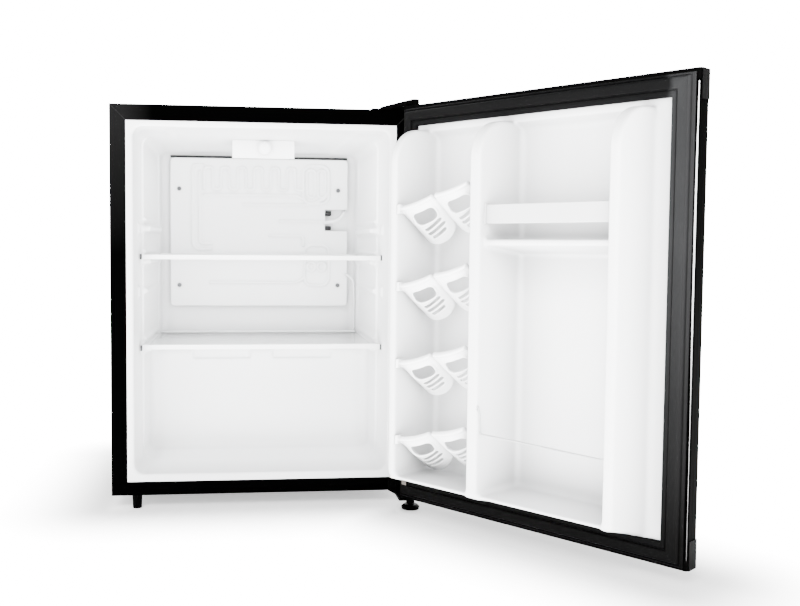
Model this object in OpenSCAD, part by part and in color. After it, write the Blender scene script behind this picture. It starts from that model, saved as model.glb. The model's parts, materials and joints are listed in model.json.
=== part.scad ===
// Compact single-door refrigerator, door open.
// Origin: floor level, centre of the cabinet's footprint. The door side faces -Y.

/* [Cabinet] */
// Width of the cabinet
body_w = 470; // [465:1:475]
// Depth of the cabinet without the door
body_d = 393; // [390:1:396]
// Height of the cabinet without its feet
body_h = 608.5; // [606:0.5:611]
// Height of the feet
foot_h = 21.5; // [20:0.5:23]
// Thickness of the steel sheet
skin_t = 1; // [0.8:0.1:1.2]
// Width of the steel face around the opening
face_w = 24.5; // [22:0.5:26]
// Height of the steel rail under the opening
rail_h = 21.6; // [21:0.2:22.4]
// Width of the liner's flange inside the steel face, at the sides and the top
side_flange_w = 10.5; // [10:0.5:12]
// Width of the liner's flange above the steel rail
flange_w = 12; // [11:0.5:12]

/* [Interior] */
// Thickness of the cabinet liner
liner_t = 2; // [1.5:0.5:2]
// Depth from the cabinet's face to the rear wall of the liner
room_d = 345; // [343:1:347]
// Half the width of the room at its rear wall
rear_half_w = 187; // [187:0.5:188]
// Depth of the lower front room, ahead of the compressor hump
hump_y = 195; // [193:1:197]
// Height of the top of the hump above the cabinet's bottom edge
hump_z = 214; // [212:1:215]
// Height of the upper shelf's supports above the cabinet's bottom edge
upper_shelf_z = 371; // [369:1:373]
// Height of the lower shelf's supports above the cabinet's bottom edge
lower_shelf_z = 224; // [223:1:226]
// Depth from the cabinet's face to the front edge of a shelf
shelf_y = 66; // [65:1:70]
// Width of a shelf's front trim
trim_w = 389; // [386:1:390]
// Sideways offset of a shelf's front trim
trim_off = 1.7; // [0:0.1:2]

/* [Door] */
// Width of the door
door_w = 474; // [472:1:475]
// Height of the plastic cap at each end of the door
cap_h = 14; // [12:1:16]
// Opening angle of the door as modelled
door_open = 128; // [90:1:135]
// Gap between the cabinet's face and the door's inner plane when closed
door_gap = 12; // [12:0.5:13]
// Thickness of the door at its edges
door_edge_t = 25; // [24:1:26]
// Extra thickness of the door at the middle of its arched front
door_arch = 16; // [14:1:18]
// Height of the liner's upright ribs above the door's inner plane
rib_v = 74; // [73:0.5:74]
// Distance from the cabinet's middle to the hinge axis
hinge_x = 233; // [232.5:0.25:233.5]
// Distance from the cabinet's face forward to the hinge axis
hinge_v = 33; // [32.5:0.5:33.5]

/* [Small parts] */
// Radius of the hinge pins
pin_r = 2.5; // [2:0.1:2.6]
// Radial clearance of the hinge pins in their bushes
pin_gap = 0.06; // [0.03:0.01:0.1]
// Radius of the levelling foot's disc
foot_r = 14.5; // [13:0.5:15]
// Number of can racks in the door
rack_count = 4; // [4]
// Vertical distance between can racks
rack_pitch = 112.5; // [112:0.5:116]

/* [Hidden] */

$fn = 48;
e = 0.01;
black = "#0c0c0d";
white = "#eceef0";
half_w = body_w / 2;
front_y = -body_d / 2;
back_y = body_d / 2;
z0 = foot_h;
z1 = foot_h + body_h;
open_half_w = half_w - face_w - side_flange_w;
open_z0 = z0 + rail_h + flange_w;
open_z1 = z1 - face_w - side_flange_w + 1;
open_r = 14;
ceiling_drop = 6;
bay_y = front_y + hump_y + 37;
bay_z = z0 + hump_z - 34;
hinge_y = front_y - hinge_v;
hinge_pos = [hinge_x, hinge_y, 0];
in_y = front_y - door_gap;
door_half = door_w / 2;
door_z0 = z0 + 0.4;
door_z1 = z1 - 0.6;
panel_z0 = z0 + cap_h;
panel_z1 = z1 - cap_h;
recess_y = in_y - 15;
door_skin = 1.5;
rib_y = in_y + rib_v;
evap_y = front_y + room_d - 13;
evap_t = 1.5;
evap_z0 = z0 + 277;
evap_z1 = z0 + 557;
evap_half_w = 168;

// points of an arc about [x, y], both ends included
function arc(x, y, r, a0, a1, n = 6) =
    [for (i = [0 : n]) [x + r * cos(a0 + (a1 - a0) * i / n), y + r * sin(a0 + (a1 - a0) * i / n)]];

// box from its two opposite corners
module block(a, b) {
    translate([min(a[0], b[0]), min(a[1], b[1]), min(a[2], b[2])])
        cube([abs(a[0] - b[0]), abs(a[1] - b[1]), abs(a[2] - b[2])]);
}

// extrudes a [y, z] outline along X from x0 to x1
module along_x(x0, x1) {
    translate([x0, 0, 0])
        rotate([90, 0, 90])
            linear_extrude(x1 - x0) children();
}

// extrudes an [x, z] outline along Y from y0 to y1
module along_y(y0, y1) {
    translate([0, y1, 0])
        rotate([90, 0, 0])
            linear_extrude(y1 - y0) children();
}

// round rod between two points that share two coordinates
module rod(a, b, r) {
    d = b - a;
    len = norm(d);
    turn = abs(d[0]) > e ? [0, 90, 0] : abs(d[1]) > e ? [-90, 0, 0] : [0, 0, 0];
    start = d[0] + d[1] + d[2] > 0 ? a : b;
    translate(start) rotate(turn) cylinder(h = len, r = r);
}

module rounded_rect(x0, y0, x1, y1, r) {
    polygon(concat(arc(x1 - r, y1 - r, r, 0, 90), arc(x0 + r, y1 - r, r, 90, 180),
        arc(x0 + r, y0 + r, r, 180, 270), arc(x1 - r, y0 + r, r, 270, 360)));
}

// turns what is drawn with the door closed into the open position
module on_door() {
    translate(hinge_pos) rotate([0, 0, door_open]) translate(-hinge_pos) children();
}

// ---------- cabinet shell ----------

module outer_shell() color(black) difference() {
    block([-half_w, front_y, z0], [half_w, back_y - skin_t, z1]);
    block([-half_w + skin_t, front_y + skin_t, z0 - 1], [half_w - skin_t, back_y + 1, z1 - skin_t]);
    block([-half_w + face_w, front_y - 1, z0 - 1], [half_w - face_w, front_y + 2, z1 - face_w]);
}

module front_bottom_rail() color(black) {
    block([-half_w + face_w + e, front_y, z0], [half_w - face_w - e, front_y + skin_t, z0 + rail_h]);
    block([-half_w + face_w + e, front_y, z0], [half_w - face_w - e, front_y + 14, z0 + skin_t]);
}

module back_panel() color(black) difference() {
    block([-half_w, back_y - skin_t, bay_z], [half_w, back_y, z1]);
    // opening for the cord's gland is in the bottom panel; the panel has a drain hole
    translate([150, back_y + 1, bay_z + 12]) rotate([90, 0, 0]) cylinder(h = 3, r = 3);
}

module bottom_panel() color("#8f9498") difference() {
    union() {
        block([-half_w + skin_t, front_y + 14, z0], [half_w - skin_t, bay_y, z0 + skin_t]);
        block([-half_w + skin_t, bay_y - skin_t, z0], [half_w - skin_t, bay_y, bay_z]);
        block([-half_w + skin_t, bay_y - skin_t, bay_z - skin_t], [half_w - skin_t, back_y - skin_t, bay_z]);
    }
    // drain tube and refrigerant tubes pass through the deck
    translate([drain_x, drain_y, bay_z - 3]) cylinder(h = 6, r = drain_r + 0.5);
    translate([-150, bay_y + 40, bay_z - 3]) cylinder(h = 6, r = 5);
}

// ---------- liner and foam ----------

// room of the cabinet, grown by g on every wall, starting at depth y_from
module room(g, y_from) intersection() {
    translate([0, 0, z0 - 5]) linear_extrude(body_h + 10) polygon(concat(
        [[-open_half_w - g, front_y + y_from], [open_half_w + g, front_y + y_from]],
        [[open_half_w - 1 + g, front_y + 110]],
        arc(rear_half_w - 14, front_y + room_d - 14, 14 + g, 0, 90),
        arc(-rear_half_w + 14, front_y + room_d - 14, 14 + g, 90, 180),
        [[-open_half_w + 1 - g, front_y + 110]]));
    along_x(-half_w, half_w) polygon(concat(
        [[front_y + y_from, open_z0 - g]],
        arc(front_y + hump_y - 14, open_z0 + 14, 14 + g, 270, 360),
        arc(front_y + hump_y + 14 + 6, z0 + hump_z - 14, 14 - g, 180, 90),
        arc(front_y + room_d - 14, z0 + hump_z + 14, 14 + g, 270, 360),
        arc(front_y + room_d - 14, open_z1 - ceiling_drop - 14, 14 + g, 0, 90),
        [[front_y + y_from, open_z1 + g]]));
    along_y(front_y + y_from, front_y + room_d + 10)
        rounded_rect(-open_half_w - g, open_z0 - g, open_half_w + g, open_z1 + g, open_r + g);
}

// two shallow pockets in the front of the compressor hump
module pockets(g)
    for (x = [[-119, -17], [22, 128]])
        block([x[0] - g, front_y + hump_y - 2, z0 + hump_z - 22 - g],
            [x[1] + g, front_y + hump_y + 9 + g, z0 + hump_z - 8 + g]);

ledge_levels = [z0 + lower_shelf_z, z0 + upper_shelf_z, z0 + upper_shelf_z + 53];
drain_x = 60;
drain_y = front_y + room_d - 22;
drain_r = 6;

// shelf ledges on one side wall
module ledges() {
    for (z = ledge_levels) {
        block([178, front_y + 96, z - 9], [open_half_w + 1, front_y + 312, z]);
        block([185.5, front_y + 96, z + 8.5], [open_half_w + 1, front_y + 312, z + 11.5]);
    }
}

module cabinet_liner() color(white) {
    difference() {
        union() {
            room(liner_t, 0);
            pockets(liner_t);
            block([-half_w + face_w + e, front_y, z0 + rail_h + e],
                [half_w - face_w - e, front_y + liner_t, z1 - face_w - e]);
        }
        pockets(0);
        difference() {
            room(0, -5);
            for (s = [0, 1]) mirror([s, 0, 0]) ledges();
        }
        translate([drain_x, drain_y, z0 + hump_z - 10]) cylinder(h = 20, r = drain_r);
        translate([160, front_y + room_d - 5, z0 + 441]) rotate([-90, 0, 0]) cylinder(h = 12, r = 2.6);
    }
}

module cabinet_foam() color("#d9c98f") difference() {
    block([-half_w + skin_t, front_y + skin_t, z0 + skin_t], [half_w - skin_t, back_y - skin_t, z1 - skin_t]);
    block([-half_w - 1, bay_y - skin_t, z0 - 1], [half_w + 1, back_y + 1, bay_z]);
    room(liner_t, 0);
    pockets(liner_t);
    block([-half_w + face_w, front_y - 1, z0 - 1], [half_w - face_w, front_y + liner_t, z1 - face_w]);
    translate([drain_x, drain_y, z0]) cylinder(h = hump_z, r = drain_r + 1);
    // slots against the side walls hold the condenser tube
    for (s = [-1, 1], i = [0 : 4])
        block([s * (half_w + 1), condenser_y(i) - 3, z0 + 224], [s * (half_w - skin_t - 6), condenser_y(i) + 3, z1 - 30]);
    for (s = [-1, 1])
        for (z = [z0 + 224, z1 - 36])
            block([s * (half_w + 1), condenser_y(0) - 3, z], [s * (half_w - skin_t - 6), condenser_y(4) + 3, z + 6]);
}

function condenser_y(i) = front_y + 60 + i * 62;

// serpentine on the inner face of each side wall
module condenser_tube() color("#8b8e91")
    for (s = [-1, 1]) {
        x = s * (half_w - skin_t - 3);
        for (i = [0 : 4])
            rod([x, condenser_y(i), z0 + 227], [x, condenser_y(i), z1 - 33], 2.4);
        for (i = [0 : 3]) {
            z = i % 2 == 0 ? z1 - 33 : z0 + 227;
            rod([x, condenser_y(i), z], [x, condenser_y(i + 1), z], 2.4);
            translate([x, condenser_y(i), z]) sphere(r = 2.4);
            translate([x, condenser_y(i + 1), z]) sphere(r = 2.4);
        }
    }

// ---------- evaporator ----------

screw_x = 151;
screw_z = [z0 + 317, z0 + 499.5];

module evaporator_plate() color("#dcdfe2") difference() {
    block([-evap_half_w, evap_y, evap_z0], [evap_half_w, evap_y + evap_t, evap_z1]);
    block([126, evap_y - 1, z0 + 422], [evap_half_w + 1, evap_y + 3, z0 + 462]);
    for (x = [-screw_x, screw_x], z = screw_z)
        translate([x, evap_y - 1, z]) rotate([-90, 0, 0]) cylinder(h = 4, r = 2.2);
}

// roll-bond channels: nested loops raised from the plate
module strip(x0, z0_, x1, z1_) {
    rounded_rect(min(x0, x1) - 2.4, min(z0_, z1_) - 2.4, max(x0, x1) + 2.4, max(z0_, z1_) + 2.4, 2.3);
}

module evaporator_channels() color("#dcdfe2") along_y(evap_y - 2, evap_y) {
    for (i = [0 : 7]) {
        z = z0 + 300 + i * 16;
        x = i % 2 == 0 ? 70 : -118;
        strip(-118, z, 70, z);
        if (i < 7)
            strip(x, z, x, z + 16);
    }
    strip(70, z0 + 300, 110, z0 + 300);
    strip(110, z0 + 300, 110, z0 + 400);
    strip(-118, z0 + 412, -118, z0 + 545);
    strip(-118, z0 + 545, 84, z0 + 545);
    for (i = [0 : 9]) {
        x = -96 + i * 20;
        strip(x, z0 + 487, x, z0 + 545);
    }
    strip(-118, z0 + 470, 110, z0 + 470);
    strip(-96, z0 + 487, 84, z0 + 487);
    strip(110, z0 + 470, 110, z0 + 545);
}

module evaporator_spacers() color(white)
    for (x = [-screw_x, screw_x], z = screw_z)
        translate([x, evap_y + evap_t, z]) rotate([-90, 0, 0]) difference() {
            cylinder(h = room_d - (evap_y - front_y) - evap_t, r = 6);
            translate([0, 0, -1]) cylinder(h = 20, r = 2.2);
        }

module evaporator_screws() color("#9a9da0")
    for (x = [-screw_x, screw_x], z = screw_z)
        translate([x, evap_y, z]) rotate([-90, 0, 0]) {
            translate([0, 0, -2.2]) cylinder(h = 2.2, r = 4);
            cylinder(h = 10, r = 2);
        }

suction_pos = [160, front_y + room_d - 7, z0 + 441];

// tube from the plate's notch, bent back into the rear wall
module suction_tube() color("#dcdfe2") {
    translate([127, evap_y + 2, suction_pos[2]]) rotate([0, 90, 0]) cylinder(h = 25, r = 2.5);
    translate([152, evap_y + 10, suction_pos[2]]) rotate([0, 0, 270])
        rotate_extrude(angle = 90) translate([8, 0]) circle(r = 2.5);
    translate([160, evap_y + 10, suction_pos[2]]) rotate([-90, 0, 0])
        cylinder(h = front_y + room_d + liner_t - evap_y - 10, r = 2.5);
}

// thin sensor tube beside the plate
module sensor_tube() color("#cfd2d4") {
    x = 181.5;
    y = front_y + 326;
    translate([x, y, z0 + hump_z]) cylinder(h = 108, r = 2);
    translate([x - 6, y, z0 + hump_z + 108]) rotate([90, 0, 0])
        rotate_extrude(angle = 90) translate([6, 0]) circle(r = 2);
    translate([x - 12, y, z0 + hump_z + 114]) rotate([0, 90, 0]) cylinder(h = 6, r = 2);
}

// ---------- thermostat ----------

thermo_x = [-49, 56];
thermo_y = front_y + 141;
thermo_z = z0 + 541.5;
knob_pos = [5.5, thermo_y, z0 + 558.5];

module thermostat_housing() color(white) difference() {
    along_x(thermo_x[0], thermo_x[1]) polygon([[thermo_y, thermo_z], [thermo_y + 75, thermo_z + 10],
        [thermo_y + 75, open_z1 - ceiling_drop * 221 / (room_d - 9) - 0.01],
        [thermo_y, open_z1 - ceiling_drop * 146 / (room_d - 9) - 0.01]]);
    block([thermo_x[0] + 2.5, thermo_y + 2.5, thermo_z + 12], [thermo_x[1] - 2.5, thermo_y + 72.5, open_z1 - 7]);
    translate(knob_pos) rotate([90, 0, 0]) translate([0, 0, -5]) cylinder(h = 10, r = 3.3);
}

module thermostat_switch() color("#b9bcbf") {
    block([-14, thermo_y + 5, z0 + 554.5], [25, thermo_y + 45, z0 + 565]);
    block([-8, thermo_y + 2.6, z0 + 555.5], [19, thermo_y + 5, z0 + 563]);
}

module thermostat_knob() color(white) translate(knob_pos) rotate([90, 0, 0]) {
    translate([0, 0, 0.4]) cylinder(h = 8, r = 11);
    translate([0, 0, 8.4]) cylinder(h = 2, r = 8.5);
    translate([0, 0, -2.2]) cylinder(h = 3, r = 3.25);
    translate([-1, 2, 8]) cube([2, 8, 3.4]);
}

// ---------- shelves ----------

glass_t = 4;

module shelf_glass(z) color([0.85, 0.93, 0.9, 0.5])
    block([-185, front_y + shelf_y + 3, z + 0.3], [185, front_y + 318, z + 0.3 + glass_t]);

module shelf_front_trim(z) color(white) difference() {
    translate([trim_off, 0, 0]) {
        block([-trim_w / 2, front_y + shelf_y, z - 1.3], [trim_w / 2, front_y + shelf_y + 12, z + 6]);
        for (s = [-1, 1])
            block([s * (trim_w / 2 - 9), front_y + shelf_y, z - 1.3], [s * trim_w / 2, front_y + shelf_y + 20, z + 6]);
    }
    block([-185, front_y + shelf_y + 3, z + 0.3], [185, front_y + shelf_y + 40, z + 0.3 + glass_t]);
}

module shelf_rear_trim(z) color(white) difference() {
    block([-185, front_y + 308, z + 0.3 - 2], [185, front_y + 321, z + 0.3 + glass_t + 2]);
    block([-190, front_y + 300, z + 0.3], [190, front_y + 318, z + 0.3 + glass_t]);
    for (s = [-1, 1])
        block([s * 176, front_y + 300, z - 5], [s * 190, front_y + 330, z + 0.3]);
}

// ---------- machine bay ----------

comp = [10, bay_y + 78, z0 + 12];

module mounting_crossbar() color(black) difference() {
    union() {
        block([-half_w + skin_t, bay_y, z0], [half_w - skin_t, back_y - 2, z0 + 2]);
        block([-half_w + skin_t, back_y - 4, z0], [half_w - skin_t, back_y - 2, z0 + 16]);
    }
    for (x = [-60, 60], y = [-40, 40])
        translate([comp[0] + x, comp[1] + y, z0 - 1]) cylinder(h = 5, r = 3.2);
    translate([-190, back_y - 6, z0 + 9]) rotate([-90, 0, 0]) cylinder(h = 8, r = 5.05);
}

module compressor_grommets() color("#1b1b1c")
    for (x = [-60, 60], y = [-40, 40])
        translate([comp[0] + x, comp[1] + y, z0 + 2]) difference() {
            cylinder(h = 10, r = 9);
            translate([0, 0, -1]) cylinder(h = 12, r = 3.2);
        }

module compressor_bolts() color("#a8abae")
    for (x = [-60, 60], y = [-40, 40])
        translate([comp[0] + x, comp[1] + y, z0 - 3]) {
            cylinder(h = 3, r = 5.5, $fn = 6);
            cylinder(h = 18.5, r = 3);
            translate([0, 0, 17.5]) cylinder(h = 3, r = 6);
        }

module compressor() color("#161617") {
    translate([comp[0] - 72, comp[1] - 52, comp[2]]) difference() {
        cube([144, 104, 2.5]);
        for (x = [12, 132], y = [12, 92])
            translate([x, y, -1]) cylinder(h = 5, r = 3.2);
    }
    translate(comp + [0, 0, 2.4]) rotate_extrude() polygon(concat([[0, 0], [42, 0], [52, 10], [52, 66],
        [55, 67], [55, 72], [52, 73]], arc(12, 79, 40, 0, 90, 8), [[0, 119]]));
}

module start_relay() color("#202122")
    block([comp[0] + 52.2, comp[1] - 22, comp[2] + 20], [comp[0] + 84, comp[1] + 22, comp[2] + 62]);

module filter_drier() color("#b87333") {
    x = -120;
    rod([x, bay_y + 30, z0 + 60], [x, bay_y + 30, z0 + 150], 9);
    rod([x, bay_y + 30, z0 + 150], [x, bay_y + 30, bay_z - skin_t], 2.5);
    rod([x, bay_y + 30, z0 + 48], [x, bay_y + 30, z0 + 60], 2.5);
}

module compressor_tubes() color("#b87333") {
    // suction, discharge and process stubs
    for (p = [[-92, -20, 60], [-92, 10, 40], [-92, 34, 50]]) {
        a = comp + [-56, p[1], p[2]];
        rod([comp[0] + p[0], a[1], a[2]], [comp[0] - sqrt(2704 - pow(abs(p[1]) - 3, 2)) - 0.3, a[1], a[2]], 3);
        rod([comp[0] + p[0], a[1], a[2]], [comp[0] + p[0], a[1], bay_z - skin_t - (p[1] > 20 ? 30 : 0)], 3);
        translate([comp[0] + p[0], a[1], a[2]]) sphere(r = 3);
    }
}

pan = [comp[0] + 0, comp[1], comp[2] + 122];

module drain_pan() color("#2a2b2c") translate(pan) difference() {
    translate([-58, -40, 0]) cube([116, 80, 18]);
    translate([-56, -38, 2]) cube([112, 76, 20]);
}

module drain_tube() color("#3a3b3c") translate([drain_x, drain_y, pan[2] + 8]) difference() {
    cylinder(h = z0 + hump_z - pan[2] - 8 - 2.5, r = drain_r);
    translate([0, 0, -1]) cylinder(h = 100, r = drain_r - 1.5);
}

module cord_gland() color("#1b1b1c") translate([-190, back_y - 2, z0 + 9]) rotate([-90, 0, 0]) difference() {
    union() {
        cylinder(h = 10, r = 7);
        translate([0, 0, -2]) cylinder(h = 2, r = 5);
    }
    translate([0, 0, -3]) cylinder(h = 15, r = 3.5);
}

// ---------- feet ----------

module front_left_foot() color("#111112") translate([-196.5, front_y + 9, 0]) {
    cylinder(h = 3, r = 7);
    translate([0, 0, 3]) cylinder(h = z0 - 3, r1 = 7, r2 = 8);
}

stem_r = 3.95;

module levelling_foot() color("#111112") translate([hinge_x, hinge_y, 0]) {
    cylinder(h = 4, r1 = foot_r - 1, r2 = foot_r);
    translate([0, 0, 4]) cylinder(h = 3.5, r1 = foot_r, r2 = foot_r - 4);
    translate([0, 0, 7.4]) cylinder(h = z0 - 6.6 - 7.4, r = stem_r);
}

module rear_feet() color("#111112")
    for (x = [-185, 185])
        translate([x, back_y - 22, 0]) cylinder(h = z0, r1 = 8, r2 = 10);

// ---------- hinges ----------

module top_hinge_bracket() color("#151516") difference() {
    union() {
        block([172, front_y + 8, z1], [half_w - 4, front_y + 52, z1 + 3]);
        block([hinge_x - 14, hinge_y, z1], [hinge_x + 2, front_y + 10, z1 + 3]);
        translate([hinge_x, hinge_y, z1]) cylinder(h = 3, r = 7);
    }
    translate([hinge_x, hinge_y, z1 - 1]) cylinder(h = 5, r = pin_r);
    for (x = [184, 218])
        translate([x, front_y + 36, z1 - 1]) cylinder(h = 5, r = 2.7);
}

module top_hinge_pin() color("#2b2c2e") translate([hinge_x, hinge_y, 0]) {
    translate([0, 0, z1 - 9]) cylinder(h = 12, r = pin_r);
    translate([0, 0, z1 + 3]) cylinder(h = 8, r = 7);
    translate([0, 0, z1 + 11]) cylinder(h = 1, r1 = 7, r2 = 6);
}

module top_hinge_screws() color("#2b2c2e")
    for (x = [184, 218])
        translate([x, front_y + 36, 0]) {
            translate([0, 0, z1]) cylinder(h = 3, r = 2.6);
            translate([0, 0, z1 + 3]) cylinder(h = 2.5, r = 5);
        }

module top_hinge_cover() color(black) difference() {
    along_y(hinge_y + 3, front_y + 56) polygon([[181, z1], [225, z1], [225, z1 + 10.8], [221, z1 + 10.8]]);
    block([170, front_y + 6, z1 - 1], [240, front_y + 54, z1 + 3.2]);
    block([200, hinge_y - 10, z1 - 1], [240, front_y + 12, z1 + 3.2]);
    for (x = [184, 218])
        translate([x, front_y + 36, z1]) cylinder(h = 5.8, r = 5.4);
}

module bottom_hinge_bracket() color("#151516") difference() {
    union() {
        // plate under the door, with a leg up the cabinet's face and a gusset below it
        block([hinge_x - 20, hinge_y - 12, z0 - 6], [half_w, front_y, z0 - 2.5]);
        along_y(front_y - 2.5, front_y) polygon([[half_w - 33, z0], [half_w - 33, z0 + 18],
            [half_w, z0 + 18], [half_w, z0 - 6], [half_w - 22, z0 - 6]]);
        translate([hinge_x, hinge_y, z0 - 13]) cylinder(h = 7.1, r = 6.5);
    }
    translate([hinge_x, hinge_y, z0 - 5.9]) cylinder(h = 6, r = pin_r);
    translate([hinge_x, hinge_y, z0 - 14]) cylinder(h = 8, r = stem_r + 0.05);
    for (x = [half_w - 25, half_w - 10])
        translate([x, front_y + 1, z0 + 11]) rotate([90, 0, 0]) {
            cylinder(h = 5, r = 2.7);
            translate([0, 0, 2]) cylinder(h = 5, r = 4.5);
        }
}

module bottom_hinge_pin() color("#2b2c2e") translate([hinge_x, hinge_y, z0 - 5.9]) {
    cylinder(h = 14, r = pin_r);
    translate([0, 0, 3.4]) cylinder(h = 1.8, r = 4.5);
}

module bottom_hinge_screws() color("#2b2c2e")
    for (x = [half_w - 25, half_w - 10])
        translate([x, front_y, z0 + 11]) rotate([90, 0, 0]) {
            cylinder(h = 1.05, r = 2.6);
            translate([0, 0, 1]) cylinder(h = 1.4, r = 4.4);
        }

// ---------- door ----------

arch_r = (door_half * door_half + door_arch * door_arch) / (2 * door_arch);
arch_a = asin((door_half - 4) / arch_r);

// plan outline of the door, shrunk by g
module door_plan(g) {
    y1 = in_y - g;
    y2 = in_y - door_edge_t;
    c = y2 - door_arch + arch_r;
    w = door_half - g;
    polygon(concat(arc(w - 3, y1 - 3, 3, 90, 0, 4), [[w, y2 + 3]],
        [for (i = [0 : 24]) let(a = 270 + arch_a - 2 * arch_a * i / 24)
            [(arch_r - g) * cos(a), c + (arch_r - g) * sin(a)]],
        [[-w, y2 + 3]], arc(-w + 3, y1 - 3, 3, 180, 90, 4)));
}

module door_panel() color(black) on_door() difference() {
    translate([0, 0, panel_z0]) linear_extrude(panel_z1 - panel_z0) door_plan(0);
    translate([0, 0, panel_z0 - 1]) linear_extrude(panel_z1 - panel_z0 + 2) door_plan(skin_t);
    block([-door_half + 14, in_y - 5, panel_z0 - 1], [door_half - 14, in_y + 1, panel_z1 + 1]);
}

// end cap with a hollow inside, a boss for the hinge pin and a tab down each side
module door_cap(z_out, z_in) {
    s = sign(z_in - z_out);
    difference() {
        union() {
            translate([0, 0, min(z_out, z_in)]) linear_extrude(abs(z_in - z_out)) door_plan(0);
            for (x = [-1, 1])
                block([x * door_half, in_y - 3, z_out], [x * (door_half + 1.2), in_y - 22, z_in + s * 23]);
        }
        difference() {
            translate([0, 0, min(z_out + s * 3, z_in + s)])
                linear_extrude(abs(z_in - z_out) - 2) door_plan(4);
            translate([hinge_x, hinge_y, z_out - 20]) cylinder(h = 40, r = 9);
        }
        translate([hinge_x, hinge_y, z_out - 15]) cylinder(h = 30, r = bush_r);
    }
}

bush_r = 4;

module door_top_cap() color("#101011") on_door() difference() {
    door_cap(door_z1, panel_z1);
    // finger scoop along the front edge at the handle side
    translate([-150, in_y - 50, z1 + 6]) rotate([0, 90, 0]) cylinder(h = 110, r = 13);
}

module door_bottom_cap() color("#101011") on_door() door_cap(door_z0, panel_z0);

module hinge_bushes() color("#d8d9da") on_door()
    for (z = [door_z0 + 0.2, door_z1 - 10.2])
        translate([hinge_x, hinge_y, z]) difference() {
            cylinder(h = 10, r = bush_r);
            translate([0, 0, -1]) cylinder(h = 12, r = pin_r + pin_gap);
        }

rib_top = z1 - 42.5;
rib_arc = 54;
floor_z = z0 + 55;
ledge_z = z0 + 403.5;

// profile shared by the upright ribs, in [y, z], shrunk by g
module rib_profile(g) {
    polygon(concat([[recess_y - 4, z0 + 34 + g], [in_y + 1.5, z0 + 34 + g]],
        arc(rib_y - 5, z0 + 54, 5 - g, 300, 360, 4),
        arc(rib_y - rib_arc, rib_top - rib_arc, rib_arc - g, 0, 90, 12),
        [[recess_y - 4, rib_top - g]]));
}

// upright rib of the door liner; foot and crest limits in x, closed position
module rib(foot0, crest0, crest1, foot1, g) intersection() {
    translate([0, 0, z0]) linear_extrude(body_h) polygon(concat(
        [[foot0 + g, recess_y - 4]],
        arc(crest0 + 5, rib_y - 5, 5 - g, 180, 90, 4),
        arc(crest1 - 5, rib_y - 5, 5 - g, 90, 0, 4),
        [[foot1 - g, recess_y - 4]]));
    along_x(foot0 - 5, foot1 + 5) rib_profile(g);
    // keeps clear of the cabinet opening's rounded corners
    along_y(recess_y - 5, rib_y + 1) rounded_rect(-open_half_w + 1.6 + g, open_z0 + 1 + g,
        open_half_w - 1.6 - g, z1 - 20, open_r);
}

recess_x = [-164, 181];

// base of the door liner with its shallow recess, shrunk by g
module base_mass(g) difference() {
    block([-door_half, in_y - 60, z0], [door_half, in_y + door_skin - g, z1]);
    along_x(recess_x[0] - g, recess_x[1] + g) polygon([[in_y + 10, z0 + 34 - g], [recess_y - g, z0 + 38 - g],
        [recess_y - g, rib_top - 9 + g], [in_y + 10, rib_top + 3 + g]]);
}

module rib_mass(g) {
    rib(-186, -175, -163, -162, g);
    rib(27, 28.5, 41, 43, g);
    rib(180, 181.5, 193, 201, g);
}

// floor of the compartments and the ledge across the wide one
module ledge_mass(g) {
    along_x(-164, 182) polygon([[recess_y - 4, z0 + 36 + g], [in_y + 1.5, z0 + 36 + g],
        [rib_y - 8 - g, z0 + 50 + g], [rib_y - 4 - g, floor_z - 3], [rib_y - 8 - g, floor_z - g],
        [recess_y - 4, floor_z - g]]);
    along_x(-163.5, 28.8) polygon([[recess_y - 4, z0 + 385 + g], [rib_y - 14 - g, z0 + 394.5 + g],
        [rib_y - 11 - g, z0 + 398], [rib_y - 11 - g, ledge_z - 3], [rib_y - 14 - g, ledge_z - g],
        [recess_y - 4, ledge_z - g]]);
}

module liner_mass(g) {
    base_mass(g);
    rib_mass(g);
    ledge_mass(g);
}

module door_liner() color(white) on_door() intersection() {
    difference() {
        liner_mass(0);
        liner_mass(door_skin);
        block([-door_half, in_y - 80, z0], [door_half, recess_y - door_skin, z1]);
        translate([26.5, in_y + wire_v, z0 + 177.5]) rotate([0, 90, 0]) cylinder(h = 3, r = wire_r + 0.1);
        translate([-164.2, in_y + wire_v, z0 + 148]) rotate([0, 90, 0]) cylinder(h = 3, r = wire_r + 0.1);
    }
    block([-226, in_y - 30, z0 + 12], [226, in_y + 90, z1 - 12]);
}

module door_foam() color("#d9c98f") on_door() intersection() {
    translate([0, 0, panel_z0]) linear_extrude(panel_z1 - panel_z0) union() {
        door_plan(skin_t);
        translate([-222, in_y - 5]) square([444, 5]);
    }
    base_mass(door_skin);
}

module door_rib_cores() color("#d9c98f") on_door() difference() {
    rib_mass(door_skin);
    base_mass(door_skin);
}

module door_ledge_cores() color("#d9c98f") on_door() difference() {
    ledge_mass(door_skin);
    base_mass(door_skin);
    rib_mass(door_skin);
    block([-190, recess_y - 20, z0], [-163, rib_y, z1]);
    block([28, recess_y - 20, z0], [42, rib_y, z1]);
    block([181, recess_y - 20, z0], [190, rib_y, z1]);
}

gasket_out = 5;
gasket_in = 30;
seal_gap = 0.5;

module ring(out, in, y_a, y_b) difference() {
    block([-door_half + out, y_a, z0 + out], [door_half - out, y_b, z1 - out]);
    block([-door_half + in, y_a - 1, z0 + in], [door_half - in, y_b + 1, z1 - in]);
}

// magnet bars of the four sides, grown by g
module magnets(g) {
    for (x = [-1, 1])
        block([x * (door_half - 12.5 + g), in_y + 6.6 - g, z0 + 24 - g],
            [x * (door_half - 21.5 - g), in_y + 9.4 + g, z1 - 24 + g]);
    for (z = [z0 + 12.5, z1 - 21.5])
        block([-196 - g, in_y + 6.6 - g, z - g], [196 + g, in_y + 9.4 + g, z + 9 + g]);
}

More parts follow.
